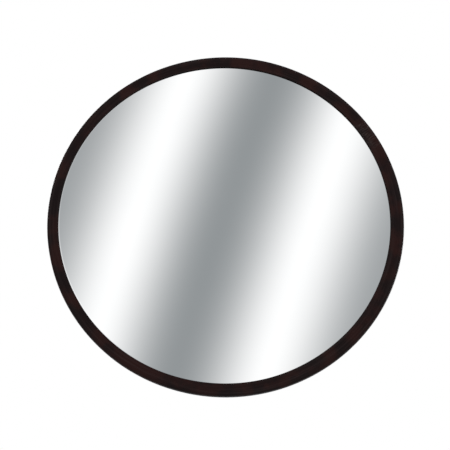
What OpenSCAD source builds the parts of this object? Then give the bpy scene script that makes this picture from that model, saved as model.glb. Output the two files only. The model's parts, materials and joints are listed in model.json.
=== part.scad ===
// Round convex security mirror on a swivelling wall bracket.
// The origin is the centre of the wall plate's back face. The mirror faces -Y, and +Z is up.

/* [Mirror] */
// Outside diameter of the mirror over its edge trim
mirror_d = 457; // [400:1:500]
// Radius of curvature of the reflecting face
face_radius = 560; // [520:10:900]
// Thickness of the acrylic dome
dome_t = 3; // [2:0.5:4]
// Thickness of the hardboard back panel
panel_t = 3.2; // [2.5:0.1:5]
// Width of the trim's front lip, from the outside edge inwards
lip_w = 15.5; // [12:0.5:20]
// Thickness of the trim's lips
lip_t = 2.2; // [1.6:0.2:3]

/* [Wall plate] */
// Width of the wall plate
plate_w = 90; // [80:1:120]
// Height of the wall plate
plate_h = 120; // [110:1:150]
// Thickness of the wall plate
plate_t = 3; // [2.5:0.5:5]
// Distance between the screw holes, across
hole_dx = 60; // [55:1:64]
// Distance between the screw holes, up and down
hole_dz = 90; // [80:1:94]
// Diameter of the screw holes
screw_hole_d = 6.5; // [5:0.5:7]

/* [Arm] */
// Distance from the wall to the upright pan pivot
pan_out = 34; // [32:1:45]
// Distance between the pan pivot and the tilt pivot
arm_len = 100; // [90:1:200]
// Outside diameter of the arm tube
tube_d = 22; // [20:0.5:24]
// Wall thickness of the arm tube
tube_wall = 2; // [1.5:0.5:3]
// Diameter of both pivot bolts
pivot_d = 8; // [8:0.5:9]

/* [Hub] */
// Diameter of the pressed hub plate on the back of the mirror
hub_d = 124; // [120:1:150]
// Diameter of the circle that the four hub bolts stand on
hub_bolt_circle = 96; // [90:1:100]
// Sheet thickness of the hub plate
hub_t = 2.5; // [2:0.5:3]

/* [Hidden] */
$fn = 96;

e = 1;                    // how far a cutting shape runs past the face it cuts
play = 0.1;               // gap left between pieces that slide on each other
bore_play = 0.1;          // radial clearance of a pivot bolt in its bore
friction_t = 1.4;         // nylon friction washers
friction_r = 12.5;        // those at the two pivots
steel_t = 1.6;            // plain steel washers
steel_r = 9;
bolt_head_r = 9.5;        // round heads of the pivot bolts
bolt_head_h = 4.6;
bolt_past_nut = 4;        // how far a pivot bolt runs past its wing nut
yoke_w = 40;              // width of the wall yoke's base
yoke_tip_r = 15;          // radius of its ears' tips
ear_t = 4;                // its sheet thickness
eye_h = 26;               // height of the swivel eye
eye_r = 13;               // radius of both pivot eyes
eye_clearance = 2;        // room behind a pivot eye
cheek_t = 5;              // thickness of the fork's cheeks
fork_root = 23;           // from the tilt pivot back to the fork's root
fork_r = 18.5;            // round bar that the fork is cut from
tongue_t = 10;            // thickness of the tilt tongue
tongue_h = 22;            // height of its flat stretch
tongue_len = 24;          // from the tilt pivot to its collar
collar_r = 17;
collar_t = 4;
spigot_len = 16;          // how far the eye and the fork plug into the tube
spigot_play = 0.05;       // radial clearance of those spigots
pin_r = 2;                // slotted pins through the tube
pin_play = 0.05;          // radial clearance of those pins
pin_t = 0.7;              // their wall
pin_slot = 0.8;
pin_proud = 0.3;          // how far each end of a pin stands out of the tube
shank_r = 6;              // shank that the mirror spins on
spin_nut_flats = 19;
spin_nut_h = 10;
cone_h = 1.6;             // cone-shaped spring washer under the spin nut
cone_t = 1;
cone_r = 12.5;
crown_r = 28;             // pressed crown of the hub plate
crown_foot_r = 33;
wing_h = 9;               // height of a wing nut's hub
wing_foot_r = 8.5;        // radii of that hub
wing_neck_r = 6.5;
wing_foot_h = 2;
wing_reach = 21;          // from a wing nut's axis to the tip of a wing
wing_top = 18;            // height of the wings' tips
wing_t = 3.2;             // thickness of the wings
square_play = 0.1;        // clearance on each side of a square neck
m6_r = 3;                 // hub bolts
m6_hole_play = 0.25;      // radial clearance of their holes
m6_head_r = 7;
m6_head_h = 3.3;
m6_past_hub = 10;         // how far they run past the hub plate
m6_nut_flats = 10;
m6_nut_h = 5;
split_t = 1.5;            // split washers under their nuts
split_r = 5.6;
doubler_r = 75;           // stiffening disc inside the mirror
doubler_t = 3;
seal_t = 0.8;             // foam tape between the panel and the dome
seal_w = 11;
seal_inset = 0.5;         // from the panel's rim to the tape
trim_web_t = 2.3;         // thickness of the trim's outer wall
trim_slack = 0.2;         // gap between the panel's rim and that wall
back_lip_short = 3;       // how much narrower the back lip is than the front one
trim_back_round = 3.6;    // rounding of the trim's two outer corners
trim_front_round = 4.2;
joint_angle = 33;         // where the two ends of the trim meet, from +X towards +Z
joint_gap = 0.5;

// Distances from the wall, in the order of the pieces
yoke_gap = eye_h / 2 + friction_t + play;          // half the room between the ears
ear_top = yoke_gap + ear_t;
tube_start = pan_out + eye_r + eye_clearance;
tilt_out = pan_out + arm_len;
tube_end = tilt_out - fork_root;
pin_len = tube_d + 2 * pin_proud;
cheek_gap = tongue_t / 2 + friction_t + play;      // half the room between the cheeks
cheek_side = cheek_gap + cheek_t;
collar_back = tilt_out + tongue_len;
collar_front = collar_back + collar_t;
crown_back = collar_front + friction_t + 2 * play;
crown_front = crown_back + hub_t;
spin_nut_back = crown_front + cone_h + 2 * play;
shank_end = spin_nut_back + spin_nut_h + 2;
panel_back = shank_end + 1.5;
hub_back = panel_back - hub_t;
panel_front = panel_back + panel_t;
doubler_front = panel_front + doubler_t;
flange_back = panel_front + seal_t;
flange_front = flange_back + dome_t;

// Radii of the mirror, measured from its axis
trim_r = mirror_d / 2;
disc_r = trim_r - trim_web_t - trim_slack;         // the panel and the dome's flange
lip_r = trim_r - lip_w;                            // free edge of the trim's front lip
cap_r = lip_r + 2;                                 // where the dome meets its flange, under the lip
back_lip_r = lip_r + back_lip_short;
dome_centre = flange_front - sqrt(face_radius * face_radius - cap_r * cap_r);
// How far from the wall the reflecting face is, at a radius r
function face_at(r) = dome_centre + sqrt(face_radius * face_radius - r * r);
lip_seat = face_at(lip_r) + play;                  // the lip's free edge lies on the dome
seal_r = disc_r - seal_inset;
hub_r = hub_d / 2;

// ---------- directions ----------

// Pieces are drawn with x to the right, y up and z out from the wall, then turned into place
module from_wall() rotate([90, 0, 0]) children();
// Turns what stands along z to lie along x
module along_x() rotate([0, 90, 0]) children();
// Turns what stands along z to stand upright
module along_up() rotate([-90, 0, 0]) children();
// Extrudes across x an outline drawn as [distance from the wall, height]
module slab_across(w) rotate([0, -90, 0]) linear_extrude(w, center = true) children();
// Extrudes upwards an outline drawn as [x, distance from the wall]
module slab_up(h) rotate([90, 0, 0]) linear_extrude(h, center = true) children();
// Copies at the four corners of a rectangle
module at_corners(dx, dy)
  for (sx = [-1, 1], sy = [-1, 1]) translate([sx * dx / 2, sy * dy / 2, 0]) children();
// Copies at the four places on the hub's bolt circle
module at_hub_bolts()
  for (a = [45 : 90 : 315]) rotate([0, 0, a]) translate([hub_bolt_circle / 2, 0, 0]) children();

// ---------- outlines ----------

function unit(v) = v / norm(v);
// The arc of radius b[2] that rounds the corner b between a and c
function corner_arc(a, b, c, steps) =
  b[2] == 0 ? [[b[0], b[1]]] :
  let (
    p = [b[0], b[1]],
    u = unit([a[0], a[1]] - p),
    v = unit([c[0], c[1]] - p),
    half = acos(u * v) / 2,
    centre = p + unit(u + v) * b[2] / sin(half),
    s = p + u * b[2] / tan(half) - centre,
    f = p + v * b[2] / tan(half) - centre,
    start = atan2(s[1], s[0]),
    turn = (atan2(f[1], f[0]) - start + 540) % 360 - 180
  )
  [for (i = [0 : steps]) centre + b[2] * [cos(start + turn * i / steps), sin(start + turn * i / steps)]];
// An outline from corners given as [x, y, corner radius]
function rounded(p, steps = 5) =
  let (n = len(p))
  [for (i = [0 : n - 1]) each corner_arc(p[(i + n - 1) % n], p[i], p[(i + 1) % n], steps)];

module rounded_rect(w, h, r) {
  square([w - 2 * r, h], center = true);
  square([w, h - 2 * r], center = true);
  for (sx = [-1, 1], sy = [-1, 1]) translate([sx * (w / 2 - r), sy * (h / 2 - r)]) circle(r);
}

// ---------- hardware ----------

module ring(r_in, r_out, h)
  difference() {
    cylinder(r = r_out, h = h);
    translate([0, 0, -e]) cylinder(r = r_in, h = h + 2 * e);
  }

// Round-headed bolt with a square neck; the underside of its head is at z = 0
module carriage_bolt(r, length, head_r, head_h, neck_h) {
  dome_r = (head_r * head_r + head_h * head_h) / (2 * head_h);
  intersection() {
    translate([0, 0, dome_r - head_h]) sphere(dome_r);
    translate([0, 0, -head_h - e]) cylinder(r = head_r + e, h = head_h + e);
  }
  translate([-r, -r, 0]) cube([2 * r, 2 * r, neck_h]);
  cylinder(r = r, h = length - 1);
  translate([0, 0, length - 1]) cylinder(r1 = r, r2 = r - 0.8, h = 1);
}

// Hexagon nut with its corners turned off on both faces
module hex_nut(r_in, flats, h) {
  corner_r = flats / sqrt(3);
  difference() {
    intersection() {
      cylinder(r = corner_r, h = h, $fn = 6);
      rotate_extrude()
        polygon([[0, 0], [flats / 2, 0], [corner_r, 0.8], [corner_r, h - 0.8], [flats / 2, h], [0, h]]);
    }
    translate([0, 0, -e]) cylinder(r = r_in, h = h + 2 * e);
  }
}

module split_washer(r_in, r_out, h)
  difference() {
    ring(r_in, r_out, h);
    translate([r_in - e, 0, h / 2]) rotate([20, 0, 0]) translate([0, -0.5, -h]) cube([r_out, 1, 2 * h]);
  }

module wing_nut(r_in) {
  difference() {
    union() {
      cylinder(r = wing_foot_r, h = wing_foot_h);
      translate([0, 0, wing_foot_h]) cylinder(r1 = wing_foot_r, r2 = wing_neck_r, h = wing_h - wing_foot_h);
      for (side = [0, 180]) rotate([90, 0, side]) linear_extrude(wing_t, center = true)
        polygon(rounded([
          [4, 1.5, 0], [10, 1.5, 3], [wing_reach - 0.5, wing_h, 6], [wing_reach, wing_top, 3.5],
          [wing_reach - 7, wing_top, 3], [9, wing_h - 0.5, 3], [4, wing_h - 0.5, 0]
        ]));
    }
    translate([0, 0, -e]) cylinder(r = r_in, h = wing_top + 2 * e);
  }
}

// ---------- wall plate and yoke ----------

module wall_plate() color("#2b2b2d") from_wall()
  difference() {
    linear_extrude(plate_t) rounded_rect(plate_w, plate_h, 10);
    translate([0, 0, -e]) at_corners(hole_dx, hole_dz) cylinder(d = screw_hole_d, h = plate_t + 2 * e);
  }

// U-shaped strap: its base is on the wall plate, and its ears hold the pan bolt
module wall_yoke() color("#2b2b2d") from_wall() {
  tip = pan_out + yoke_tip_r;
  side = yoke_w / 2;
  difference() {
    intersection() {
      slab_across(yoke_w) polygon(rounded([
        [plate_t, -ear_top, 6], [tip, -ear_top, 0], [tip, -yoke_gap, 0], [plate_t + ear_t, -yoke_gap, 2.5],
        [plate_t + ear_t, yoke_gap, 2.5], [tip, yoke_gap, 0], [tip, ear_top, 0], [plate_t, ear_top, 6]
      ]));
      slab_up(3 * ear_top) union() {
        translate([0, pan_out]) circle(yoke_tip_r);
        polygon([[-side, plate_t], [side, plate_t], [side, plate_t + ear_t + 2], [yoke_tip_r, pan_out],
          [-yoke_tip_r, pan_out], [-side, plate_t + ear_t + 2]]);
      }
    }
    translate([0, yoke_gap - e, pan_out]) along_up()
      cylinder(r = pivot_d / 2 + bore_play, h = ear_t + 2 * e);
    translate([0, -yoke_gap - ear_t / 2, pan_out])
      cube([pivot_d + 2 * square_play, ear_t + 2 * e, pivot_d + 2 * square_play], center = true);
  }
}

module pan_bolt() color("#b9bcc0") from_wall()
  translate([0, -ear_top, pan_out]) along_up()
    carriage_bolt(pivot_d / 2, 2 * ear_top + steel_t + wing_h + bolt_past_nut, bolt_head_r, bolt_head_h,
      ear_t);

module pan_friction_washers() color("#e9e6dc") from_wall()
  for (bottom = [-yoke_gap + play / 2, eye_h / 2 + play / 2])
    translate([0, bottom, pan_out]) along_up() ring(pivot_d / 2 + bore_play, friction_r, friction_t);

module pan_washer() color("#b9bcc0") from_wall()
  translate([0, ear_top, pan_out]) along_up() ring(pivot_d / 2 + bore_play, steel_r, steel_t);

module pan_wing_nut() color("#b9bcc0") from_wall()
  translate([0, ear_top + steel_t + play, pan_out]) along_up() wing_nut(pivot_d / 2 + bore_play);

// ---------- arm ----------

module spigot_pin_hole(out)
  translate([-tube_d, 0, out]) along_x() cylinder(r = pin_r + pin_play, h = 2 * tube_d);

// Upright eye on the wall end of the arm
module swivel_eye() color("#2b2b2d") from_wall()
  difference() {
    union() {
      translate([0, -eye_h / 2, pan_out]) along_up() cylinder(r = eye_r, h = eye_h);
      translate([0, 0, pan_out]) cylinder(d = tube_d, h = tube_start - pan_out);
      translate([0, 0, tube_start]) cylinder(r = tube_d / 2 - tube_wall - spigot_play, h = spigot_len);
    }
    translate([0, -eye_h / 2 - e, pan_out]) along_up()
      cylinder(r = pivot_d / 2 + bore_play, h = eye_h + 2 * e);
    spigot_pin_hole(tube_start + spigot_len / 2);
  }

module arm_tube() color("#2b2b2d") from_wall()
  difference() {
    translate([0, 0, tube_start]) ring(tube_d / 2 - tube_wall, tube_d / 2, tube_end - tube_start);
    spigot_pin_hole(tube_start + spigot_len / 2);
    spigot_pin_hole(tube_end - spigot_len / 2);
  }

// Slotted spring pins that lock the eye and the fork into the tube
module arm_pins() color("#8d9094") from_wall()
  for (out = [tube_start + spigot_len / 2, tube_end - spigot_len / 2])
    translate([-pin_len / 2, 0, out]) along_x() difference() {
      ring(pin_r - pin_t, pin_r, pin_len);
      translate([0, -pin_slot / 2, -e]) cube([pin_r + e, pin_slot, pin_len + 2 * e]);
    }

// Fork on the room end of the arm; its cheeks hold the tilt bolt
module tilt_fork() color("#2b2b2d") from_wall()
  difference() {
    union() {
      intersection() {
        slab_across(2 * cheek_side) union() {
          translate([tube_end, -eye_r]) square([tilt_out - tube_end, 2 * eye_r]);
          translate([tilt_out, 0]) circle(eye_r);
        }
        translate([0, 0, tube_end]) union() {
          cylinder(r1 = tube_d / 2 + 1, r2 = fork_r, h = 7);
          translate([0, 0, 7]) cylinder(r = fork_r, h = 40);
        }
      }
      translate([0, 0, tube_end - spigot_len])
        cylinder(r = tube_d / 2 - tube_wall - spigot_play, h = spigot_len + e);
    }
    translate([-cheek_gap, -20, tilt_out - eye_r - eye_clearance]) cube([2 * cheek_gap, 40, 40]);
    translate([0, 0, tilt_out]) along_x() cylinder(r = pivot_d / 2 + bore_play, h = 30);
    translate([-cheek_gap - cheek_t / 2, 0, tilt_out])
      cube([cheek_t + 2 * e, pivot_d + 2 * square_play, pivot_d + 2 * square_play], center = true);
    spigot_pin_hole(tube_end - spigot_len / 2);
  }

module tilt_bolt() color("#b9bcc0") from_wall()
  translate([-cheek_side, 0, tilt_out]) along_x()
    carriage_bolt(pivot_d / 2, 2 * cheek_side + steel_t + wing_h + bolt_past_nut, bolt_head_r, bolt_head_h,
      cheek_t);

module tilt_friction_washers() color("#e9e6dc") from_wall()
  for (left = [-cheek_gap + play / 2, tongue_t / 2 + play / 2])
    translate([left, 0, tilt_out]) along_x() ring(pivot_d / 2 + bore_play, friction_r, friction_t);

module tilt_washer() color("#b9bcc0") from_wall()
  translate([cheek_side, 0, tilt_out]) along_x() ring(pivot_d / 2 + bore_play, steel_r, steel_t);

module tilt_wing_nut() color("#b9bcc0") from_wall()
  translate([cheek_side + steel_t + play, 0, tilt_out]) along_x() rotate([0, 0, 90])
    wing_nut(pivot_d / 2 + bore_play);

// ---------- tilting head ----------

// Flat tongue in the fork, with a collar and the shank that the mirror spins on
module tilt_tongue() color("#2b2b2d") from_wall()
  difference() {
    union() {
      slab_across(tongue_t) union() {
        translate([tilt_out, 0]) circle(eye_r);
        translate([tilt_out, -tongue_h / 2]) square([tongue_len + e, tongue_h]);
      }
      translate([0, 0, collar_back]) cylinder(r = collar_r, h = collar_t);
      translate([0, 0, collar_front - e]) cylinder(r = shank_r, h = shank_end - collar_front);
      translate([0, 0, shank_end - e]) cylinder(r1 = shank_r, r2 = shank_r - 1, h = e);
    }
    translate([-10, 0, tilt_out]) along_x() cylinder(r = pivot_d / 2 + bore_play, h = 20);
  }

module spin_friction_washer() color("#e9e6dc") from_wall()
  translate([0, 0, collar_front + play]) ring(shank_r + bore_play, collar_r - 0.5, friction_t);

// Cone-shaped spring washer that keeps the spinning joint firm
module spin_spring_washer() color("#8d9094") from_wall()
  translate([0, 0, crown_front + play]) rotate_extrude()
    polygon([
      [shank_r + bore_play, cone_h - cone_t], [shank_r + bore_play, cone_h], [cone_r, cone_t], [cone_r, 0]
    ]);

module spin_nut() color("#b9bcc0") from_wall()
  translate([0, 0, spin_nut_back]) hex_nut(shank_r, spin_nut_flats, spin_nut_h);

// ---------- mirror ----------

// Pressed steel hub: a raised crown for the shank, and a flange bolted to the panel
module hub_plate() color("#2b2b2d") from_wall()
  difference() {
    rotate_extrude() polygon(rounded([
      [0, crown_back, 0], [crown_r, crown_back, 3.5], [crown_foot_r, hub_back, 2],
      [hub_r, hub_back, 0.8], [hub_r, panel_back, 0.8],
      [crown_foot_r - hub_t / 2, panel_back, 3.5], [crown_r - hub_t / 2, crown_front, 1.5],
      [0, crown_front, 0]
    ]));
    translate([0, 0, crown_back - e]) cylinder(r = shank_r + bore_play, h = hub_t + 2 * e);
    translate([0, 0, hub_back - e]) at_hub_bolts() cylinder(r = m6_r + m6_hole_play, h = hub_t + 2 * e);
  }

// Carriage bolts from inside the mirror, through the doubler, the panel and the hub
module hub_bolts() color("#b9bcc0") from_wall()
  at_hub_bolts() translate([0, 0, doubler_front]) mirror([0, 0, 1])
    carriage_bolt(m6_r, doubler_front - hub_back + m6_past_hub, m6_head_r, m6_head_h, doubler_t);

module hub_spring_washers() color("#8d9094") from_wall()
  at_hub_bolts() translate([0, 0, hub_back - split_t]) split_washer(m6_r + bore_play, split_r, split_t);

module hub_nuts() color("#b9bcc0") from_wall()
  at_hub_bolts() translate([0, 0, hub_back - split_t - play - m6_nut_h])
    hex_nut(m6_r, m6_nut_flats, m6_nut_h);

// Disc inside the mirror that spreads the load of the hub bolts
module doubler_plate() color("#6f4e33") from_wall()
  translate([0, 0, panel_front]) difference() {
    cylinder(r = doubler_r, h = doubler_t);
    at_hub_bolts()
      cube([2 * m6_r + 2 * square_play, 2 * m6_r + 2 * square_play, 3 * doubler_t], center = true);
  }

module back_panel() color("#7a563a") from_wall()
  translate([0, 0, panel_back]) difference() {
    cylinder(r = disc_r, h = panel_t, $fn = 200);
    translate([0, 0, -e]) at_hub_bolts() cylinder(r = m6_r + m6_hole_play, h = panel_t + 2 * e);
  }

module seal_ring() color("#d8d8d4") from_wall()
  translate([0, 0, panel_front]) ring(seal_r - seal_w, seal_r, seal_t, $fn = 200);

// Acrylic cap with a flat flange, silvered on its hollow side
module mirror_dome() color("#c9cdd0") from_wall()
  difference() {
    union() {
      intersection() {
        translate([0, 0, dome_centre]) sphere(face_radius, $fn = 256);
        translate([0, 0, flange_back]) cylinder(r = cap_r + e, h = face_radius, $fn = 200);
      }
      translate([0, 0, flange_back]) cylinder(r = disc_r, h = dome_t, $fn = 200);
    }
    translate([0, 0, dome_centre]) sphere(face_radius - dome_t, $fn = 256);
  }

// Vinyl channel pushed over the rim; its two ends meet in a butt joint
module edge_trim() color("#241817") from_wall()
  difference() {
    rotate_extrude($fn = 200) polygon(rounded([
      [trim_r, panel_back - lip_t, trim_back_round], [trim_r, flange_front + lip_t, trim_front_round],
      [lip_r, lip_seat + lip_t - 0.6, 0.7], [lip_r, lip_seat, 0.4], [cap_r + 1, flange_front, 0],
      [trim_r - trim_web_t, flange_front, 0], [trim_r - trim_web_t, panel_back, 0],
      [back_lip_r, panel_back, 0.4], [back_lip_r, panel_back - lip_t + 0.5, 0.8]
    ]));
    rotate([0, 0, joint_angle]) translate([lip_r - e, -joint_gap / 2, 0])
      cube([lip_w + 2 * e, joint_gap, 2 * flange_front]);
  }

wall_plate();
wall_yoke();
pan_bolt();
pan_friction_washers();
pan_washer();
pan_wing_nut();
swivel_eye();
arm_tube();
arm_pins();
tilt_fork();
tilt_bolt();
tilt_friction_washers();
tilt_washer();
tilt_wing_nut();
tilt_tongue();
spin_friction_washer();
spin_spring_washer();
spin_nut();
hub_plate();
hub_bolts();
hub_spring_washers();
hub_nuts();
doubler_plate();
back_panel();
seal_ring();
mirror_dome();
edge_trim();
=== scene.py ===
"""Round convex security mirror on a swivelling wall bracket: its looks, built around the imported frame.

Lengths are in metres. The mirror's axis is the Y axis, and the wall is at y = 0. A piece that is turned
about that axis is drawn by its radius and by its distance out from the wall, which is -y.
"""

import json
import math

import bmesh
import bpy
from mathutils import Matrix, Vector, noise


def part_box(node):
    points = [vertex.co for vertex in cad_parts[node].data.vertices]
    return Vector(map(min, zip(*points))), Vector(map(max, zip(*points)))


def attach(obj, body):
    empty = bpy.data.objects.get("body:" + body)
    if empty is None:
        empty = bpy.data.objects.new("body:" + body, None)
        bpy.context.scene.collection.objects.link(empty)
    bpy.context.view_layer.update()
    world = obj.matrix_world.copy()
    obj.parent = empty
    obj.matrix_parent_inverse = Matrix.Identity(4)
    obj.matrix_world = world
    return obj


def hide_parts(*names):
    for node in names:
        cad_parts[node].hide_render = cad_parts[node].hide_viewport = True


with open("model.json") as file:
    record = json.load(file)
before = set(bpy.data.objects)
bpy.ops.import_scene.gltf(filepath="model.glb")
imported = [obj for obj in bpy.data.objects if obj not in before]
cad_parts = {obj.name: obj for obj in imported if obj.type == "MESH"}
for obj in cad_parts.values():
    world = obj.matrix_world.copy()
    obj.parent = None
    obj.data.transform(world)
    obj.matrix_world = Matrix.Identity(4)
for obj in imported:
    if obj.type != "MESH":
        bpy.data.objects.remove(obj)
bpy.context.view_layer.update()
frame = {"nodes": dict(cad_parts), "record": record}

MM = 0.001


# ---------- places, from the frame ----------

def out_from_wall(node):
    """How far from the wall a node's back and its front are."""
    low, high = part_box(node)
    return -high.y, -low.y


TRIM_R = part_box("edge_trim")[1].x
TRIM_BACK, TRIM_FRONT = out_from_wall("edge_trim")
FLANGE_BACK, APEX = out_from_wall("mirror_dome")
DISC_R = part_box("mirror_dome")[1].x     # rim of the dome's flange
PANEL_BACK = out_from_wall("back_panel")[0]
PLATE_FRONT = out_from_wall("wall_plate")[1]

DOME_T = 3 * MM
LIP_W = 15.5 * MM                   # width of the trim's front lip
LIP_T = 2.2 * MM
WEB_T = 2.3 * MM                    # thickness of the trim's outer wall
BACK_LIP_W = 12.5 * MM
LIP_COVERS = 2 * MM                 # how far the front lip reaches over the curved face
JOINT_ANGLE = math.radians(33)      # where the trim's ends meet, from +X towards +Z
JOINT_GAP = 0.02 * MM
JOINT_LEAN = 0.07                   # slope of the ends' cut, so that nothing shows through the joint

FLANGE_FRONT = FLANGE_BACK + DOME_T
LIP_R = TRIM_R - LIP_W
CAP_R = LIP_R + LIP_COVERS          # where the curved face meets the flange
RISE = APEX - FLANGE_FRONT
FACE_R = (CAP_R ** 2 + RISE ** 2) / (2 * RISE)
DOME_CENTRE = APEX - FACE_R


def face_at(radius):
    """How far from the wall the reflecting face is, at a radius from the mirror's axis."""
    return DOME_CENTRE + math.sqrt(FACE_R ** 2 - radius ** 2)


# ---------- mesh helpers ----------

SHARP_ANGLE = 35        # degrees between two faces, above which their edge is sharp


def new_piece(name, points, faces, sharp_angle=SHARP_ANGLE):
    """A smooth mesh piece whose edges are sharp where its faces meet at more than sharp_angle degrees."""
    mesh = bpy.data.meshes.new(name)
    mesh.from_pydata(points, [], faces)
    bm = bmesh.new()
    bm.from_mesh(mesh)
    bmesh.ops.recalc_face_normals(bm, faces=bm.faces)
    for face in bm.faces:
        face.smooth = True
    for edge in bm.edges:
        if len(edge.link_faces) == 2 and edge.calc_face_angle() > math.radians(sharp_angle):
            edge.smooth = False
    bm.to_mesh(mesh)
    bm.free()
    piece = bpy.data.objects.new(name, mesh)
    bpy.context.scene.collection.objects.link(piece)
    return piece


def lathe(outline, segments, radius_at=None):
    """Points and faces of a closed solid turned about Z.

    The outline is (radius, height) pairs, and its two ends are closed at the axis. radius_at(radius, height,
    angle) may change the radius from place to place.
    """
    points, faces = [], []
    for radius, height in outline:
        for i in range(segments):
            angle = 2 * math.pi * i / segments
            r = radius_at(radius, height, angle) if radius_at else radius
            points.append((r * math.cos(angle), r * math.sin(angle), height))
    for row in range(len(outline) - 1):
        for i in range(segments):
            j = (i + 1) % segments
            a, b = row * segments, (row + 1) * segments
            faces.append((a + i, a + j, b + j, b + i))
    for row in (0, len(outline) - 1):
        pole = len(points)
        points.append((0, 0, outline[row][1]))
        for i in range(segments):
            faces.append((row * segments + i, row * segments + (i + 1) % segments, pole))
    return points, faces


def arc(centre, radius, start, end, steps):
    """Points on a circle, from angle start to angle end in degrees."""
    made = []
    for i in range(steps + 1):
        a = math.radians(start + (end - start) * i / steps)
        made.append((centre[0] + radius * math.cos(a), centre[1] + radius * math.sin(a)))
    return made


def rounded(corners, steps=5):
    """An outline from corners given as (x, y, corner radius)."""
    made = []
    for i, (x, y, radius) in enumerate(corners):
        here = Vector((x, y))
        to_last = (Vector(corners[i - 1][:2]) - here).normalized()
        to_next = (Vector(corners[(i + 1) % len(corners)][:2]) - here).normalized()
        half = math.acos(max(-1, min(1, to_last.dot(to_next)))) / 2
        centre = here + (to_last + to_next).normalized() * radius / math.sin(half)
        start = here + to_last * radius / math.tan(half) - centre
        turn = start.angle_signed(here + to_next * radius / math.tan(half) - centre)
        for k in range(steps + 1):
            spot = centre + Matrix.Rotation(-turn * k / steps, 2) @ start
            made.append((spot.x, spot.y))
    return made


def refined(outline, longest):
    """A closed outline with points added so that none is further than longest from the next."""
    made = []
    for i, a in enumerate(outline):
        b = outline[(i + 1) % len(outline)]
        parts = max(1, math.ceil(math.dist(a, b) / longest))
        for k in range(parts):
            made.append((a[0] + (b[0] - a[0]) * k / parts, a[1] + (b[1] - a[1]) * k / parts))
    return made


def inset(outline, distance):
    """A closed, anticlockwise outline moved inwards by a distance."""
    made = []
    for i, here in enumerate(outline):
        along = Vector(outline[(i + 1) % len(outline)]) - Vector(outline[i - 1])
        inwards = Vector((-along.y, along.x)).normalized()
        made.append(tuple(Vector(here) + inwards * distance))
    return made


def clamp(value):
    """A value held between 0 and 1."""
    return max(0, min(1, value))


def on_mirror_axis(points):
    """Turns points whose axis is Z to stand on the mirror's axis, pointing out from the wall."""
    return [(x, -z, y) for x, y, z in points]


def modifier(piece, name, kind, **settings):
    made = piece.modifiers.new(name, kind)
    for key, value in settings.items():
        setattr(made, key, value)


# ---------- node helpers ----------

def add_node(tree, kind, inputs=None, **settings):
    """Adds a node. inputs gives a value, or a socket to link, for its sockets by their name or number."""
    made = tree.nodes.new(kind)
    for key, value in settings.items():
        setattr(made, key, value)
    for key, value in (inputs or {}).items():
        if isinstance(value, bpy.types.NodeSocket):
            tree.links.new(value, made.inputs[key])
        else:
            made.inputs[key].default_value = value
    return made


def calc(tree, operation, a, b=0.0, c=0.0):
    return add_node(tree, "ShaderNodeMath", {0: a, 1: b, 2: c}, operation=operation).outputs[0]


def times(tree, a, b):
    return calc(tree, "MULTIPLY", a, b)


def vector_calc(tree, operation, a, b=(0, 0, 0), output=0):
    return add_node(tree, "ShaderNodeVectorMath", {0: a, 1: b}, operation=operation).outputs[output]


def dot(tree, a, b):
    return vector_calc(tree, "DOT_PRODUCT", a, b, output=1)


def separate(tree, vector):
    return add_node(tree, "ShaderNodeSeparateXYZ", {0: vector}).outputs


def combine(tree, x, y, z):
    return add_node(tree, "ShaderNodeCombineXYZ", {0: x, 1: y, 2: z}).outputs[0]


def turned_about_y(tree, place, angle):
    inputs = {"Vector": place, "Angle": angle}
    return add_node(tree, "ShaderNodeVectorRotate", inputs, rotation_type="Y_AXIS").outputs[0]


def object_place(tree, stretch=(1, 1, 1)):
    """The point on the object, in metres, stretched along each axis."""
    place = add_node(tree, "ShaderNodeTexCoord").outputs["Object"]
    return vector_calc(tree, "MULTIPLY", place, stretch)


def noise_value(tree, place, scale, detail=3.0, roughness=0.55, distortion=0.0):
    """Smooth noise, about 0.5 on average, with about as many patches in a unit of place as its scale."""
    inputs = {"Vector": place, "Scale": scale, "Detail": detail, "Roughness": roughness,
              "Distortion": distortion}
    return add_node(tree, "ShaderNodeTexNoise", inputs).outputs[0]


def ramp(tree, value, start, end, low=0.0, high=1.0):
    """Goes smoothly from low to high as value goes from start to end."""
    inputs = {"Value": value, "From Min": start, "From Max": end, "To Min": low, "To Max": high}
    return add_node(tree, "ShaderNodeMapRange", inputs, interpolation_type="SMOOTHSTEP").outputs[0]


def mix(tree, factor, a, b):
    """Colour a where factor is 0, and b where it is 1."""
    return add_node(tree, "ShaderNodeMix", {0: factor, 6: a, 7: b}, data_type="RGBA").outputs[2]


def rgb(*colour):
    return (*colour, 1.0)


def new_material(name, metallic=0.0, roughness=0.5, specular=0.5):
    made = bpy.data.materials.new(name)
    made.use_nodes = True
    tree = made.node_tree
    shader = tree.nodes["Principled BSDF"]
    shader.inputs["Metallic"].default_value = metallic
    shader.inputs["Roughness"].default_value = roughness
    shader.inputs["Specular IOR Level"].default_value = specular
    return made, tree, shader


def set_input(tree, shader, name, socket):
    tree.links.new(socket, shader.inputs[name])


def add_bump(tree, shader, height, distance, strength=1.0, under=None):
    """Bump whose full height is distance metres. under is the output of a bump that it adds to."""
    inputs = {"Strength": strength, "Distance": distance, "Height": height}
    if under is not None:
        inputs["Normal"] = under
    normal = add_node(tree, "ShaderNodeBump", inputs).outputs[0]
    set_input(tree, shader, "Normal", normal)
    return normal


# ---------- materials ----------

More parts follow.
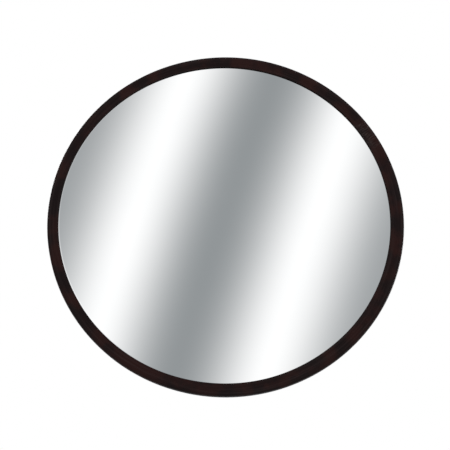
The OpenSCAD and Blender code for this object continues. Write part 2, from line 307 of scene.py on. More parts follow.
def mirrored_acrylic():
    """Silvered acrylic: a clean mirror with faint hairlines and a trace of dust in its gloss."""
    made, tree, shader = new_material("mirrored_acrylic", metallic=1.0)
    place = object_place(tree)
    haze = noise_value(tree, place, 9, detail=4)
    silver, bright_silver = rgb(0.935, 0.942, 0.945), rgb(0.95, 0.955, 0.957)
    set_input(tree, shader, "Base Color", mix(tree, ramp(tree, haze, 0.3, 0.7), silver, bright_silver))
    hairlines = ramp(tree, noise_value(tree, object_place(tree, (900, 40, 30)), 1, detail=2), 0.72, 0.8)
    gloss = calc(tree, "MULTIPLY_ADD", haze, 0.012, 0.004)
    set_input(tree, shader, "Roughness", calc(tree, "MULTIPLY_ADD", hairlines, 0.02, gloss))
    shader.inputs["Coat Weight"].default_value = 0.4
    shader.inputs["Coat Roughness"].default_value = 0.01
    add_bump(tree, shader, noise_value(tree, place, 14, detail=1), 0.02 * MM, 0.25)
    return made


def backing_paint():
    """Grey paint that protects the silvering, on the hollow side of the dome."""
    made, tree, shader = new_material("backing_paint", roughness=0.6)
    speckle = noise_value(tree, object_place(tree), 260)
    dark_grey, grey = rgb(0.16, 0.165, 0.17), rgb(0.24, 0.245, 0.25)
    set_input(tree, shader, "Base Color", mix(tree, speckle, dark_grey, grey))
    add_bump(tree, shader, speckle, 0.1 * MM, 0.4)
    return made


def lengthwise_noise(tree, radius, depth, around, fineness, wander):
    """Noise on a ring that changes quickly across it, fineness times in a metre, and slowly along it."""
    place = combine(tree, times(tree, radius, fineness), times(tree, depth, fineness),
                    times(tree, around[0], wander))
    inputs = {"Vector": place, "W": times(tree, around[2], wander), "Scale": 1.0, "Detail": 2.0}
    return add_node(tree, "ShaderNodeTexNoise", inputs, noise_dimensions="4D").outputs[0]


JOINT_MARKS_END = 0.9925     # cosine of the angle from the trim's joint to where its lighter, rougher streaks end


def lighter_joint_marks(tree, across, radius, depth):
    """Short streaks across the trim near where its two ends meet, lighter and rougher than the rest."""
    joint = (math.cos(JOINT_ANGLE), 0, math.sin(JOINT_ANGLE))
    past_joint = (-joint[2], 0, joint[0])
    towards_joint = dot(tree, vector_calc(tree, "NORMALIZE", across), joint)
    along = dot(tree, across, past_joint)
    place = combine(tree, times(tree, along, 1700), times(tree, radius, 160), times(tree, depth, 160))
    streak_pattern = ramp(tree, noise_value(tree, place, 1, detail=3, distortion=0.8), 0.46, 0.8)
    return times(tree, ramp(tree, towards_joint, JOINT_MARKS_END, 1.0), streak_pattern)


MOTTLE_FROM = 1.61      # how far along the noise the trim's mottle starts, which places its patches


def vinyl_trim():
    """Dark brown-black extruded vinyl: die lines along its length, and lighter, rougher streaks where its
    ends meet.
    """
    made, tree, shader = new_material("vinyl_trim", specular=0.11)
    place = object_place(tree)
    x, depth, z = separate(tree, place)
    across = combine(tree, x, 0.0, z)
    radius = vector_calc(tree, "LENGTH", across, output=1)
    around = separate(tree, vector_calc(tree, "NORMALIZE", across))
    fine_lines = lengthwise_noise(tree, radius, depth, around, 1500, 6)
    broad_lines = lengthwise_noise(tree, radius, depth, around, 420, 3)
    mottle = noise_value(tree, vector_calc(tree, "ADD", place, (0, MOTTLE_FROM, 0)), 34, detail=4)
    marks_at_joint = lighter_joint_marks(tree, across, radius, depth)
    black, brown = rgb(0.0058, 0.0026, 0.0027), rgb(0.0155, 0.0044, 0.0036)
    broad_line, fine_line = rgb(0.026, 0.0165, 0.016), rgb(0.034, 0.022, 0.02)
    joint_mark_colour = rgb(0.06, 0.046, 0.042)
    colour = mix(tree, ramp(tree, mottle, 0.38, 0.64), black, brown)
    colour = mix(tree, ramp(tree, broad_lines, 0.45, 0.75, 0, 0.3), colour, broad_line)
    colour = mix(tree, ramp(tree, fine_lines, 0.62, 0.8, 0, 0.3), colour, fine_line)
    # Lighter colour in short streaks near the trim's joint
    colour = mix(tree, times(tree, marks_at_joint, 0.8), colour, joint_mark_colour)
    set_input(tree, shader, "Base Color", colour)
    gloss = ramp(tree, mottle, 0.25, 0.8, 0.36, 0.5)
    set_input(tree, shader, "Roughness", calc(tree, "MULTIPLY_ADD", marks_at_joint, 0.2, gloss))
    under = add_bump(tree, shader, fine_lines, 0.09 * MM, 0.5)
    add_bump(tree, shader, noise_value(tree, place, 1300, detail=2), 0.05 * MM, 0.3, under)
    return made


def fibre_noise(tree, place, angle):
    """Noise drawn out into short fibres that lie at an angle across the panel."""
    drawn_out = vector_calc(tree, "MULTIPLY", turned_about_y(tree, place, angle), (300, 200, 80))
    return noise_value(tree, drawn_out, 1, detail=6, roughness=0.7, distortion=2.2)


WIRE_SPACING = 1.9 * MM     # between the wires whose print is on the hardboard
WIRES_TURNED = 0.12         # from level, in radians


def screen_print(tree, place):
    """The height of a wire screen's print, which is on the wall side only."""
    flat = vector_calc(tree, "MULTIPLY", place, (1, 0, 1))
    wires = separate(tree, turned_about_y(tree, flat, WIRES_TURNED))
    wire_turn = 2 * math.pi / WIRE_SPACING
    waves = [calc(tree, "SINE", times(tree, wires[i], wire_turn)) for i in (0, 2)]
    normal = add_node(tree, "ShaderNodeNewGeometry").outputs["True Normal"]
    wall_side = ramp(tree, dot(tree, normal, (0, 1, 0)), 0.6, 0.9)
    return times(tree, times(tree, waves[0], waves[1]), wall_side)


def hardboard():
    """Tempered hardboard: pressed brown fibres, and the print of a wire screen on its wall side."""
    made, tree, shader = new_material("hardboard", specular=0.3)
    place = object_place(tree)
    leaning, crossing, counter = [fibre_noise(tree, place, angle) for angle in (0.5, 1.9, -0.35)]
    fibres = calc(tree, "MULTIPLY_ADD", counter, 0.5, times(tree, leaning, 0.5))
    clouds = noise_value(tree, place, 7, detail=3)
    flecks = ramp(tree, noise_value(tree, place, 950, detail=2), 0.6, 0.74)
    dark_brown, brown, pale_brown = rgb(0.105, 0.052, 0.026), rgb(0.225, 0.125, 0.066), rgb(0.30, 0.18, 0.10)
    stain, fleck = rgb(0.085, 0.042, 0.022), rgb(0.045, 0.022, 0.012)
    colour = mix(tree, ramp(tree, fibres, 0.36, 0.64), dark_brown, brown)
    colour = mix(tree, ramp(tree, crossing, 0.5, 0.75, 0, 0.5), colour, pale_brown)
    colour = mix(tree, ramp(tree, clouds, 0.3, 0.7, 0, 0.35), colour, stain)
    colour = mix(tree, times(tree, flecks, 0.55), colour, fleck)
    set_input(tree, shader, "Base Color", colour)
    set_input(tree, shader, "Roughness", ramp(tree, fibres, 0.2, 0.8, 0.5, 0.68))
    under = add_bump(tree, shader, screen_print(tree, place), 0.12 * MM, 0.6)
    add_bump(tree, shader, fibres, 0.12 * MM, 0.5, under)
    return made


def foam_tape():
    """Closed-cell foam."""
    made, tree, shader = new_material("foam_tape", roughness=0.85, specular=0.2)
    inputs = {"Vector": object_place(tree), "Scale": 1400.0}
    cells = add_node(tree, "ShaderNodeTexVoronoi", inputs).outputs[0]
    grey, white = rgb(0.55, 0.55, 0.52), rgb(0.78, 0.78, 0.75)
    set_input(tree, shader, "Base Color", mix(tree, cells, grey, white))
    add_bump(tree, shader, cells, 0.15 * MM, 0.6)
    return made


def near_edges(tree, reach):
    """1 within about reach of an edge, and 0 on the faces between, broken up by noise."""
    softened = add_node(tree, "ShaderNodeBevel", {"Radius": reach}, samples=4).outputs[0]
    normal = add_node(tree, "ShaderNodeNewGeometry").outputs["Normal"]
    turned = calc(tree, "SUBTRACT", 1.0, dot(tree, softened, normal))
    breaks = ramp(tree, noise_value(tree, object_place(tree), 300, detail=4), 0.4, 0.65)
    return times(tree, ramp(tree, turned, 0.01, 0.12), breaks)


def black_powder_coat():
    """Black powder coat: a fine orange peel, and a thinner, glossier, greyer coat on the edges."""
    made, tree, shader = new_material("black_powder_coat", specular=0.4)
    place = object_place(tree)
    clouds = noise_value(tree, place, 45, detail=4)
    peel = noise_value(tree, place, 900, detail=2, roughness=0.4)
    thin = near_edges(tree, 0.7 * MM)
    black, soft_black, grey = rgb(0.012, 0.012, 0.013), rgb(0.019, 0.019, 0.0205), rgb(0.1, 0.1, 0.102)
    colour = mix(tree, ramp(tree, clouds, 0.3, 0.7), black, soft_black)
    set_input(tree, shader, "Base Color", mix(tree, times(tree, thin, 0.45), colour, grey))
    gloss = ramp(tree, clouds, 0.25, 0.75, 0.33, 0.43)
    set_input(tree, shader, "Roughness", calc(tree, "MULTIPLY_ADD", thin, -0.08, gloss))
    add_bump(tree, shader, peel, 0.17 * MM, 0.5)
    return made


def zinc_plated_steel():
    """Bright zinc plating with a slightly uneven blue and straw tint, and dull tumbling marks."""
    made, tree, shader = new_material("zinc_plated_steel", metallic=1.0)
    place = object_place(tree)
    tint = noise_value(tree, place, 70, detail=2)
    marks = noise_value(tree, place, 1100, detail=3)
    bluish, straw, dull = rgb(0.60, 0.62, 0.65), rgb(0.645, 0.635, 0.60), rgb(0.36, 0.36, 0.37)
    colour = mix(tree, ramp(tree, tint, 0.35, 0.65), bluish, straw)
    colour = mix(tree, ramp(tree, marks, 0.6, 0.78, 0, 0.28), colour, dull)
    set_input(tree, shader, "Base Color", colour)
    set_input(tree, shader, "Roughness", ramp(tree, marks, 0.3, 0.75, 0.2, 0.42))
    add_bump(tree, shader, marks, 0.05 * MM, 0.35)
    return made


def spring_steel():
    """Dark, oiled spring steel with drawing lines."""
    made, tree, shader = new_material("spring_steel", metallic=1.0)
    lines = noise_value(tree, object_place(tree, (200, 200, 2600)), 1, detail=3)
    dark, light = rgb(0.16, 0.165, 0.18), rgb(0.34, 0.345, 0.36)
    set_input(tree, shader, "Base Color", mix(tree, lines, dark, light))
    set_input(tree, shader, "Roughness", ramp(tree, lines, 0.3, 0.7, 0.28, 0.45))
    add_bump(tree, shader, lines, 0.04 * MM, 0.4)
    return made


def nylon():
    """Natural nylon: milky, with a moulded grain."""
    made, tree, shader = new_material("nylon", specular=0.45)
    grain = noise_value(tree, object_place(tree), 800, detail=3)
    cream, milk = rgb(0.70, 0.67, 0.58), rgb(0.82, 0.80, 0.72)
    set_input(tree, shader, "Base Color", mix(tree, ramp(tree, grain, 0.3, 0.7), cream, milk))
    set_input(tree, shader, "Roughness", ramp(tree, grain, 0.3, 0.7, 0.4, 0.55))
    shader.inputs["Subsurface Weight"].default_value = 0.2
    shader.inputs["Subsurface Radius"].default_value = (1 * MM, 0.8 * MM, 0.5 * MM)
    shader.inputs["Subsurface Scale"].default_value = 0.5
    add_bump(tree, shader, grain, 0.05 * MM, 0.3)
    return made


FINISHES = {make.__name__: make() for make in (
    mirrored_acrylic, vinyl_trim, hardboard, foam_tape, black_powder_coat, zinc_plated_steel, spring_steel,
    nylon)}


def finish_piece(piece, slot, body, *stands_for):
    """Gives a new piece its material and its body, and hides the CAD nodes that it stands for."""
    piece.data.materials.append(FINISHES[slot])
    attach(piece, body)
    if stands_for:
        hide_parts(*stands_for)


# ---------- CAD nodes that stay ----------

MERGE_WITHIN = 0.005 * MM           # points of a CAD node that are this near each other are the same point
FLAT_WITHIN = math.radians(0.4)     # CAD faces that turn less than this are one flat face


def soften_edges(piece, width):
    """Small rounded edges on a CAD node, with flat faces that stay flat."""
    modifier(piece, "weld", "WELD", merge_threshold=MERGE_WITHIN)
    modifier(piece, "flats", "DECIMATE", decimate_type="DISSOLVE", angle_limit=FLAT_WITHIN)
    modifier(piece, "edges", "BEVEL", width=width, segments=2, limit_method="ANGLE",
             angle_limit=math.radians(SHARP_ANGLE))
    modifier(piece, "normals", "WEIGHTED_NORMAL", weight=60, keep_sharp=False)


def cast_in_one(piece, voxel, smoothing):
    """Rounds a CAD node's edges and fills its inside corners a little, as in a casting."""
    modifier(piece, "weld", "WELD", merge_threshold=MERGE_WITHIN)
    modifier(piece, "cast", "REMESH", mode="VOXEL", voxel_size=voxel, use_smooth_shade=True)
    modifier(piece, "smooth", "SMOOTH", factor=0.5, iterations=smoothing)


# Width of the rounded edges, in mm
EDGE_WIDTHS = {
    "wall_plate": 0.5, "wall_yoke": 0.5, "arm_tube": 0.3, "hub_plate": 0.4,
    "pan_washer": 0.2, "tilt_washer": 0.2, "spin_nut": 0.2, "hub_nuts": 0.2,
    "arm_pins": 0.15, "hub_spring_washers": 0.15, "spin_spring_washer": 0.15,
    "pan_friction_washers": 0.2, "tilt_friction_washers": 0.2, "spin_friction_washer": 0.2,
    "back_panel": 0.3, "doubler_plate": 0.4, "seal_ring": 0.1,
}
WING_NUTS = ("pan_wing_nut", "tilt_wing_nut")
CASTINGS = ("swivel_eye", "tilt_fork", "tilt_tongue")


def finish_cad_nodes():
    slots = {part["node"]: part["material_slot"] for part in frame["record"]["subparts"]}
    for name, piece in frame["nodes"].items():
        piece.data.materials.clear()
        piece.data.materials.append(FINISHES[slots[name]])
        if name in EDGE_WIDTHS:
            soften_edges(piece, EDGE_WIDTHS[name] * MM)
    for name in WING_NUTS:
        cast_in_one(frame["nodes"][name], voxel=0.28 * MM, smoothing=14)
    for name in CASTINGS:
        cast_in_one(frame["nodes"][name], voxel=0.45 * MM, smoothing=8)


# ---------- mirror ----------

DOME_SEGMENTS = 288
FACE_STEPS = 72
HOLLOW_STEPS = 48
NEAR_AXIS = 0.2             # degrees from the dome's axis to the first ring of points round it
FLANGE_EDGE = 0.4 * MM      # rounding of the flange's rim
CREASE_W = 0.6 * MM         # from the flange's inner edge to the first ring of points on it


def dome_outline():
    """The acrylic cap's cross-section, as (radius, out) points from the face's middle to the hollow's."""
    centre = (0, DOME_CENTRE)
    inner_r = FACE_R - DOME_T
    cap_angle = math.degrees(math.asin(CAP_R / FACE_R))
    inner_angle = math.degrees(math.acos((FLANGE_BACK - DOME_CENTRE) / inner_r))
    edge_r = DISC_R - FLANGE_EDGE
    face = arc(centre, FACE_R, 90 - NEAR_AXIS, 90 - cap_angle, FACE_STEPS)
    flange = [(CAP_R + CREASE_W, FLANGE_FRONT)]
    flange += arc((edge_r, FLANGE_FRONT - FLANGE_EDGE), FLANGE_EDGE, 90, 0, 4)
    flange += arc((edge_r, FLANGE_BACK + FLANGE_EDGE), FLANGE_EDGE, 0, -90, 4)
    hollow = arc(centre, inner_r, 90 - inner_angle, 90 - NEAR_AXIS, HOLLOW_STEPS)
    return face + flange + hollow


def make_dome():
    """The acrylic cap with its flat flange: silvered outside face, and painted inside."""
    points, faces = lathe(dome_outline(), DOME_SEGMENTS)
    dome = new_piece("mirror_face", on_mirror_axis(points), faces)
    finish_piece(dome, "mirrored_acrylic", "mirror", "mirror_dome")
    dome.data.materials.append(backing_paint())
    for polygon in dome.data.polygons:
        faces_wall = polygon.normal.y > 0.2
        in_hollow = faces_wall and math.hypot(polygon.center.x, polygon.center.z) < CAP_R
        polygon.material_index = 1 if in_hollow else 0


TRIM_SECTIONS = 480
TRIM_BACK_ROUNDING = 3.6 * MM
TRIM_FRONT_ROUNDING = 4.2 * MM
TRIM_INNER_ROUNDING = 0.4 * MM
LIP_TAPER = 0.5 * MM        # how much thinner the lips are at their free edges
LIP_INNER_ROUNDING = 0.3 * MM
FRONT_LIP_ROUNDING = 0.75 * MM
BACK_LIP_ROUNDING = 0.7 * MM
LONGEST_STEP = 1.2 * MM     # from one point of the cross-section to the next
# The front lip's free edge is drawn in this far at +X and at +Z, and let out as far opposite, so that it sits
# off centre to the left and slightly upwards
LIP_SHIFT = (1.45 * MM, -0.35 * MM)
LIP_CROWN = 0.5 * MM        # how far the middle of the lip bulges
LIP_LIFT = 0.08 * MM        # how far the lip's free edge stands off the face
LIP_WANDER = 0.25 * MM      # how far the lip's free edge wanders in and out
WALL_WANDER = 0.05 * MM     # the same for the rest of the channel
WANDER_SCALE = 2.2          # how quickly those change on the way round
END_ROUNDING = 0.25 * MM    # radius of the edges of the trim's two cut ends
END_STEPS = 3


def trim_outline():
    """The channel's cross-section, as (radius, out) points, with its front lip still flat."""
    web_r = TRIM_R - WEB_T
    back_r = TRIM_R - BACK_LIP_W
    lip_front = FLANGE_FRONT + LIP_T
    corners = [
        (TRIM_R, TRIM_BACK, TRIM_BACK_ROUNDING), (TRIM_R, lip_front, TRIM_FRONT_ROUNDING),
        (LIP_R, lip_front - LIP_TAPER, FRONT_LIP_ROUNDING), (LIP_R, FLANGE_FRONT, LIP_INNER_ROUNDING),
        (web_r, FLANGE_FRONT, TRIM_INNER_ROUNDING), (web_r, PANEL_BACK, TRIM_INNER_ROUNDING),
        (back_r, PANEL_BACK, LIP_INNER_ROUNDING), (back_r, TRIM_BACK + LIP_TAPER, BACK_LIP_ROUNDING),
    ]
    return refined(rounded(corners), LONGEST_STEP)


def trim_point(radius, out, angle):
    """Where a point of the cross-section lies at an angle round the mirror, with the lip on the dome."""
    place = Vector((math.cos(angle), math.sin(angle), 0)) * WANDER_SCALE
    on_lip = out > FLANGE_FRONT - 0.1 * MM
    if not on_lip:
        return radius - WALL_WANDER * (1 + noise.noise(place * 3)), out
    share = clamp((TRIM_R - WEB_T - radius) / (LIP_W - WEB_T))
    shift = LIP_SHIFT[0] * math.cos(angle) + LIP_SHIFT[1] * math.sin(angle)
    radius -= share * (shift + LIP_WANDER * noise.noise(place))
    out += LIP_CROWN * clamp((out - FLANGE_FRONT) / LIP_T) * 4 * share * (1 - share)
    if radius < CAP_R:
        out += face_at(radius) - FLANGE_FRONT + LIP_LIFT * share
    return radius, out


def trim_sections():
    """The trim's sections from one cut end to the other: the angle of each, and how far it is drawn in."""
    half_gap = JOINT_GAP / 2 / TRIM_R
    first_end = []
    for k in range(END_STEPS + 1):
        turn = math.pi / 2 * k / END_STEPS
        angle = half_gap + END_ROUNDING * (1 - math.cos(turn)) / TRIM_R
        first_end.append((angle, END_ROUNDING * (1 - math.sin(turn))))
    between = [(2 * math.pi * i / TRIM_SECTIONS, 0) for i in range(1, TRIM_SECTIONS)]
    last_end = [(2 * math.pi - angle, drawn_in) for angle, drawn_in in reversed(first_end)]
    return first_end + between + last_end


def make_trim():
    """The vinyl channel, from one side of its butt joint round to the other."""
    outline = trim_outline()
    sections = trim_sections()
    points, faces = [], []
    for turned, drawn_in in sections:
        angle = JOINT_ANGLE + turned
        for radius, out in inset(outline, drawn_in):
            r, o = trim_point(radius, out, angle)
            leaned = angle + JOINT_LEAN * (o - TRIM_FRONT) / TRIM_R
            points.append((r * math.cos(leaned), -o, r * math.sin(leaned)))
    count = len(outline)
    for i in range(len(sections) - 1):
        for k in range(count):
            a, b = i * count + k, i * count + (k + 1) % count
            faces.append((a, b, b + count, a + count))
    faces.append(tuple(range(count)))
    faces.append(tuple(range(len(points) - count, len(points))))
    trim = new_piece("vinyl_edge_trim", points, faces, sharp_angle=50)
    finish_piece(trim, "vinyl_trim", "mirror", "edge_trim")


# ---------- bolts ----------

M8 = {"radius": 4 * MM, "head_r": 9.5 * MM, "head_h": 4.6 * MM, "pitch": 1.25 * MM}
M6 = {"radius": 3 * MM, "head_r": 7 * MM, "head_h": 3.3 * MM, "pitch": 1 * MM}
BOLT_SEGMENTS = 48
ROWS_PER_TURN = 8           # rings of points in one turn of a thread
THREAD_DEPTH = 0.55         # as a share of its pitch
GROOVE_FLATNESS = 1.3       # above 1, the thread's grooves have flat bottoms
TIP_LENGTH = 0.9            # length of the tip's chamfer, as a share of the pitch
TIP_SLOPE = 0.8             # how fast that chamfer narrows
NECK_CHAMFER = 0.2 * MM     # at the square neck's upright edges
HEAD_MIDDLE_R = 0.02 * MM   # first ring of points round the middle of the head
HEAD_RIM_W = 0.15 * MM      # from the head's rim to the first ring of points on its underside
PLAIN_END = 0.2 * MM        # from the last ring of points on the plain shank to the thread


def bolt_outline(radius, length, head_r, head_h, neck_h, pitch, thread_from):
    """Half of a round-headed bolt's outline along +Z, without its thread; its head ends at z = 0."""
    dome_r = (head_r ** 2 + head_h ** 2) / (2 * head_h)
    half = math.degrees(math.asin(head_r / dome_r))
    dome = arc((0, dome_r - head_h), dome_r, -90, -90 + half, 10)
    head = [(max(x, HEAD_MIDDLE_R), z) for x, z in dome]
    head += [(head_r - HEAD_RIM_W, 0), (radius, 0)]
    shank = [(radius, neck_h), (radius, thread_from - PLAIN_END)]
    rows = round((length - thread_from) / pitch * ROWS_PER_TURN)
    shank += [(radius, thread_from + (length - thread_from) * i / rows) for i in range(rows + 1)]
    return head + shank


def square_neck(radius, height):
    """Points and faces of the square neck under a bolt's head."""
    corner = radius - NECK_CHAMFER
    square = [(radius, -corner), (radius, corner), (corner, radius), (-corner, radius),
              (-radius, corner), (-radius, -corner), (-corner, -radius), (corner, -radius)]
    sides = len(square)
    points = [(x, y, z) for z in (0, height) for x, y in square]
    faces = [(i, (i + 1) % sides, sides + (i + 1) % sides, sides + i) for i in range(sides)]
    faces.append(tuple(range(sides)))
    faces.append(tuple(range(sides, 2 * sides)))
    return points, faces


def bolt_points(radius, length, head_r, head_h, neck_h, pitch, thread_len):
    """Points and faces of a carriage bolt along +Z, whose head ends at z = 0."""
    thread_from = length - thread_len

    def radius_at(r, z, angle):
        if z < thread_from:
            return r
        wave = 0.5 - 0.5 * math.cos(2 * math.pi * (z / pitch - angle / (2 * math.pi)))
        groove = THREAD_DEPTH * pitch * clamp(wave * GROOVE_FLATNESS) * clamp((z - thread_from) / pitch)
        chamfer = max(0, z - (length - TIP_LENGTH * pitch)) * TIP_SLOPE
        return min(r - groove, r - chamfer)

    outline = bolt_outline(radius, length, head_r, head_h, neck_h, pitch, thread_from)
    points, faces = lathe(outline, BOLT_SEGMENTS, radius_at)
    neck_points, neck_faces = square_neck(radius, neck_h)
    first = len(points)
    faces += [tuple(first + i for i in face) for face in neck_faces]
    return points + neck_points, faces


def make_bolt(name, place, body, node, **sizes):
    """A carriage bolt, moved by the matrix place from standing on the origin."""
    points, faces = bolt_points(**sizes)
    bolt = new_piece(name, [place @ Vector(p) for p in points], faces)
    finish_piece(bolt, "zinc_plated_steel", body, node)


def make_pivot_bolts():
    """The upright pan bolt and the level tilt bolt, both M8."""
    low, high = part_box("pan_bolt")
    stand = Matrix.Translation(((low.x + high.x) / 2, (low.y + high.y) / 2, low.z + M8["head_h"]))
    make_bolt("pan_bolt_threaded", stand, "wall_mount", "pan_bolt", length=high.z - low.z - M8["head_h"],
              neck_h=4 * MM, thread_len=22 * MM, **M8)
    low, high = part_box("tilt_bolt")
    head_end = Matrix.Translation((low.x + M8["head_h"], (low.y + high.y) / 2, 0))
    lie = head_end @ Matrix.Rotation(math.pi / 2, 4, "Y")
    make_bolt("tilt_bolt_threaded", lie, "arm", "tilt_bolt", length=high.x - low.x - M8["head_h"],
              neck_h=5 * MM, thread_len=20 * MM, **M8)


def make_hub_bolts():
    """Four M6 bolts, whose heads are inside the mirror and whose threads point to the wall."""
    low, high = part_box("hub_bolts")
    side = high.x - M6["head_r"]
    for i, (sx, sz) in enumerate(((1, 1), (-1, 1), (-1, -1), (1, -1))):
        head_end = Matrix.Translation((sx * side, low.y + M6["head_h"], sz * side))
        place = head_end @ Matrix.Rotation(-math.pi / 2, 4, "X")
        make_bolt(f"hub_bolt_{i + 1}", place, "mirror", "hub_bolts", length=high.y - low.y - M6["head_h"],
                  neck_h=3 * MM, thread_len=14 * MM, **M6)


# ---------- welds ----------

WELD_R = 2.5 * MM
WELD_HALF_LENGTH = 12.5 * MM
WELD_ROWS = 90
WELD_SEGMENTS = 24
RIPPLE_SPACING = 1.7 * MM
RIPPLE_DEPTH = 0.16         # as a share of the weld's radius
RIPPLE_BOW = 0.35           # how far a ripple bows along the weld, as a share of their spacing
LUMP_DEPTH = 0.06
LUMP_SCALE = 300            # about how many lumps fit in a metre of weld
WELD_END_POWER = 6          # the higher, the shorter the weld's rounded ends
WELD_END_LEFT = 0.02        # keeps those ends from closing to a point


def make_weld(name, x):
    """A rippled fillet weld along the side of the yoke's base."""
    def radius_at(radius, height, angle):
        wave = abs(math.sin(math.pi * (height / RIPPLE_SPACING + RIPPLE_BOW * math.cos(angle))))
        lump = noise.noise(Vector((height * LUMP_SCALE, angle, x * 100)))
        return radius * (1 - RIPPLE_DEPTH * (1 - wave) + LUMP_DEPTH * lump)

    outline = []
    for i in range(WELD_ROWS + 1):
        along = 2 * i / WELD_ROWS - 1
        taper = math.sqrt(max(WELD_END_LEFT, 1 - abs(along) ** WELD_END_POWER))
        outline.append((WELD_R * taper, WELD_HALF_LENGTH * along))
    points, faces = lathe(outline, WELD_SEGMENTS, radius_at)
    placed = [(x + px, -PLATE_FRONT + py, pz) for px, py, pz in points]
    bead = new_piece(name, placed, faces, sharp_angle=80)
    finish_piece(bead, "black_powder_coat", "wall_mount")


def make_welds():
    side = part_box("wall_yoke")[1].x
    make_weld("yoke_weld_left", -side)
    make_weld("yoke_weld_right", side)


# ---------- studio ----------

VIEW_ELEVATION = math.radians(-18.1)   # the camera is straight in front of the mirror, and well below it
CAMERA_DISTANCE = 3.0
MIRROR_FILLS = 0.7929                  # share of the picture's width that the mirror's diameter fills
AIM_RIGHT = -0.8 * MM                  # where the camera looks, from the middle of the trim
AIM_UP = -2.0 * MM

BACK_TO_CAMERA = Vector((0, -math.cos(VIEW_ELEVATION), math.sin(VIEW_ELEVATION)))
UP_IN_PICTURE = Vector((0, math.sin(VIEW_ELEVATION), math.cos(VIEW_ELEVATION)))


def make_camera():
    camera = bpy.data.objects.new("camera", bpy.data.cameras.new("camera"))
    bpy.context.scene.collection.objects.link(camera)
    aim = Vector((AIM_RIGHT, -(TRIM_BACK + TRIM_FRONT) / 2, 0)) + UP_IN_PICTURE * AIM_UP
    camera.location = aim + BACK_TO_CAMERA * CAMERA_DISTANCE
    camera.rotation_euler = BACK_TO_CAMERA.to_track_quat("Z", "Y").to_euler()
    camera.data.lens = camera.data.sensor_width * CAMERA_DISTANCE * MIRROR_FILLS / (2 * TRIM_R)
    camera.data.clip_end = 100
    bpy.context.scene.camera = camera


BAND_LEAN = math.radians(18)     # the light bands in the mirror lean this far to the right
BAND_PERIOD = 0.426              # from one dark band to the next, as a change in the face's normal
BAND_SHAPE = 0.93                # below 1, the dark bands are wider than the bright ones
MIDDLE_BAND = 0.575              # brightness of the middle dark band in the picture; the bright ones have 1
SIDE_BAND = 0.625                # and of the dark bands at the mirror's sides
PICTURE_GAMMA = 2.2              # brightness in the picture, to this power, is the amount of light
DEPTH_CHANGES = (0.16, 0.27)     # between these, measured as BAND_PERIOD is, the dark bands get less deep
DARK_LIGHT = rgb(0.305, 0.324, 0.334)
BRIGHT_LIGHT = rgb(1.07, 1.07, 1.07)


def strip_lights(tree, normal):
    """The colour of the strip lights and of the gaps between them, for the face's normal that shows them."""
    across = (math.cos(BAND_LEAN), 0, -math.sin(BAND_LEAN))
    place = dot(tree, normal, across)
    wave = calc(tree, "COSINE", times(tree, place, 2 * math.pi / BAND_PERIOD))
    depth = ramp(tree, calc(tree, "ABSOLUTE", place), *DEPTH_CHANGES, 1 - MIDDLE_BAND, 1 - SIDE_BAND)
    darkness = calc(tree, "POWER", calc(tree, "MULTIPLY_ADD", wave, 0.5, 0.5), BAND_SHAPE)
    shown = calc(tree, "SUBTRACT", 1.0, times(tree, depth, darkness))
    light = calc(tree, "POWER", shown, PICTURE_GAMMA)
    inputs = {"Value": light, "From Min": MIDDLE_BAND ** PICTURE_GAMMA, "From Max": 1.0}
    share = add_node(tree, "ShaderNodeMapRange", inputs).outputs[0]
    return mix(tree, share, DARK_LIGHT, BRIGHT_LIGHT)


def make_world():
    """White to the camera. The mirror sees long soft strip lights before it, and a dimmer room round them."""
    world = bpy.data.worlds.new("studio")
    bpy.context.scene.world = world
    world.use_nodes = True
    tree = world.node_tree
    direction = add_node(tree, "ShaderNodeTexCoord").outputs["Generated"]
    # The face's normal that would send this light to the camera
    normal = vector_calc(tree, "NORMALIZE", vector_calc(tree, "ADD", direction, tuple(BACK_TO_CAMERA)))
    # From -1, where that normal points straight out from the wall, to 1
    towards_wall = separate(tree, normal)[1]
    dim_grey, pale_grey = rgb(0.36, 0.36, 0.37), rgb(0.7, 0.7, 0.71)
    room = mix(tree, ramp(tree, towards_wall, -0.6, -0.2), dim_grey, pale_grey)
    lit = mix(tree, ramp(tree, towards_wall, -0.88, -0.7), strip_lights(tree, normal), room)
    seen = add_node(tree, "ShaderNodeLightPath").outputs["Is Camera Ray"]
    set_input(tree, tree.nodes["Background"], "Color", mix(tree, seen, lit, rgb(1, 1, 1)))


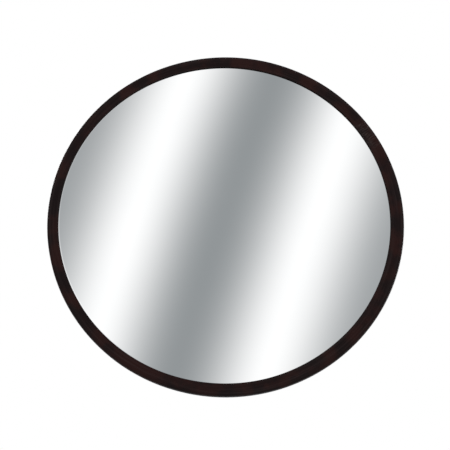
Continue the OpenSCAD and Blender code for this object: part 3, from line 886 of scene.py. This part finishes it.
LAMPS_AIM = Vector((0, -0.1, 0))


def make_lamp(name, place, size, watts, in_mirror):
    """A soft square lamp that points at the object."""
    lamp = bpy.data.lights.new(name, "AREA")
    lamp.size = size
    lamp.energy = watts
    light = bpy.data.objects.new(name, lamp)
    bpy.context.scene.collection.objects.link(light)
    light.location = place
    light.rotation_euler = (LAMPS_AIM - Vector(place)).to_track_quat("-Z", "Y").to_euler()
    light.visible_glossy = in_mirror


FLOOR_Z = -4.2
FLOOR_REACH = 300
FLOOR_GLOW = 0.45       # makes the floor nearly as pale as the background


def make_floor():
    mesh = bpy.data.meshes.new("floor")
    corners = [(x * FLOOR_REACH, y * FLOOR_REACH, FLOOR_Z) for x, y in ((-1, -1), (1, -1), (1, 1), (-1, 1))]
    mesh.from_pydata(corners, [], [(0, 1, 2, 3)])
    floor = bpy.data.objects.new("floor", mesh)
    bpy.context.scene.collection.objects.link(floor)
    pale, tree, shader = new_material("floor", roughness=0.8, specular=0.2)
    grain = noise_value(tree, object_place(tree), 0.8)
    off_white, white = rgb(0.87, 0.87, 0.865), rgb(0.89, 0.89, 0.885)
    set_input(tree, shader, "Base Color", mix(tree, grain, off_white, white))
    shader.inputs["Emission Color"].default_value = rgb(1, 1, 1)
    shader.inputs["Emission Strength"].default_value = FLOOR_GLOW
    mesh.materials.append(pale)
    floor.visible_glossy = False


def make_studio():
    make_camera()
    make_world()
    make_lamp("key", place=(-1.5, -2.4, 2.0), size=1.6, watts=45, in_mirror=False)
    make_lamp("fill", place=(2.2, -1.8, 0.6), size=1.6, watts=18, in_mirror=False)
    make_lamp("back_left", place=(-1.6, 2.0, 1.6), size=1.0, watts=35, in_mirror=True)
    make_lamp("back_right", place=(1.9, 1.6, 0.4), size=0.8, watts=14, in_mirror=True)
    make_floor()
    bpy.context.scene.view_settings.view_transform = "Standard"
    bpy.context.scene.view_settings.look = "None"


# ---------- the whole scene ----------

make_studio()
finish_cad_nodes()
make_dome()
make_trim()
make_pivot_bolts()
make_hub_bolts()
make_welds()
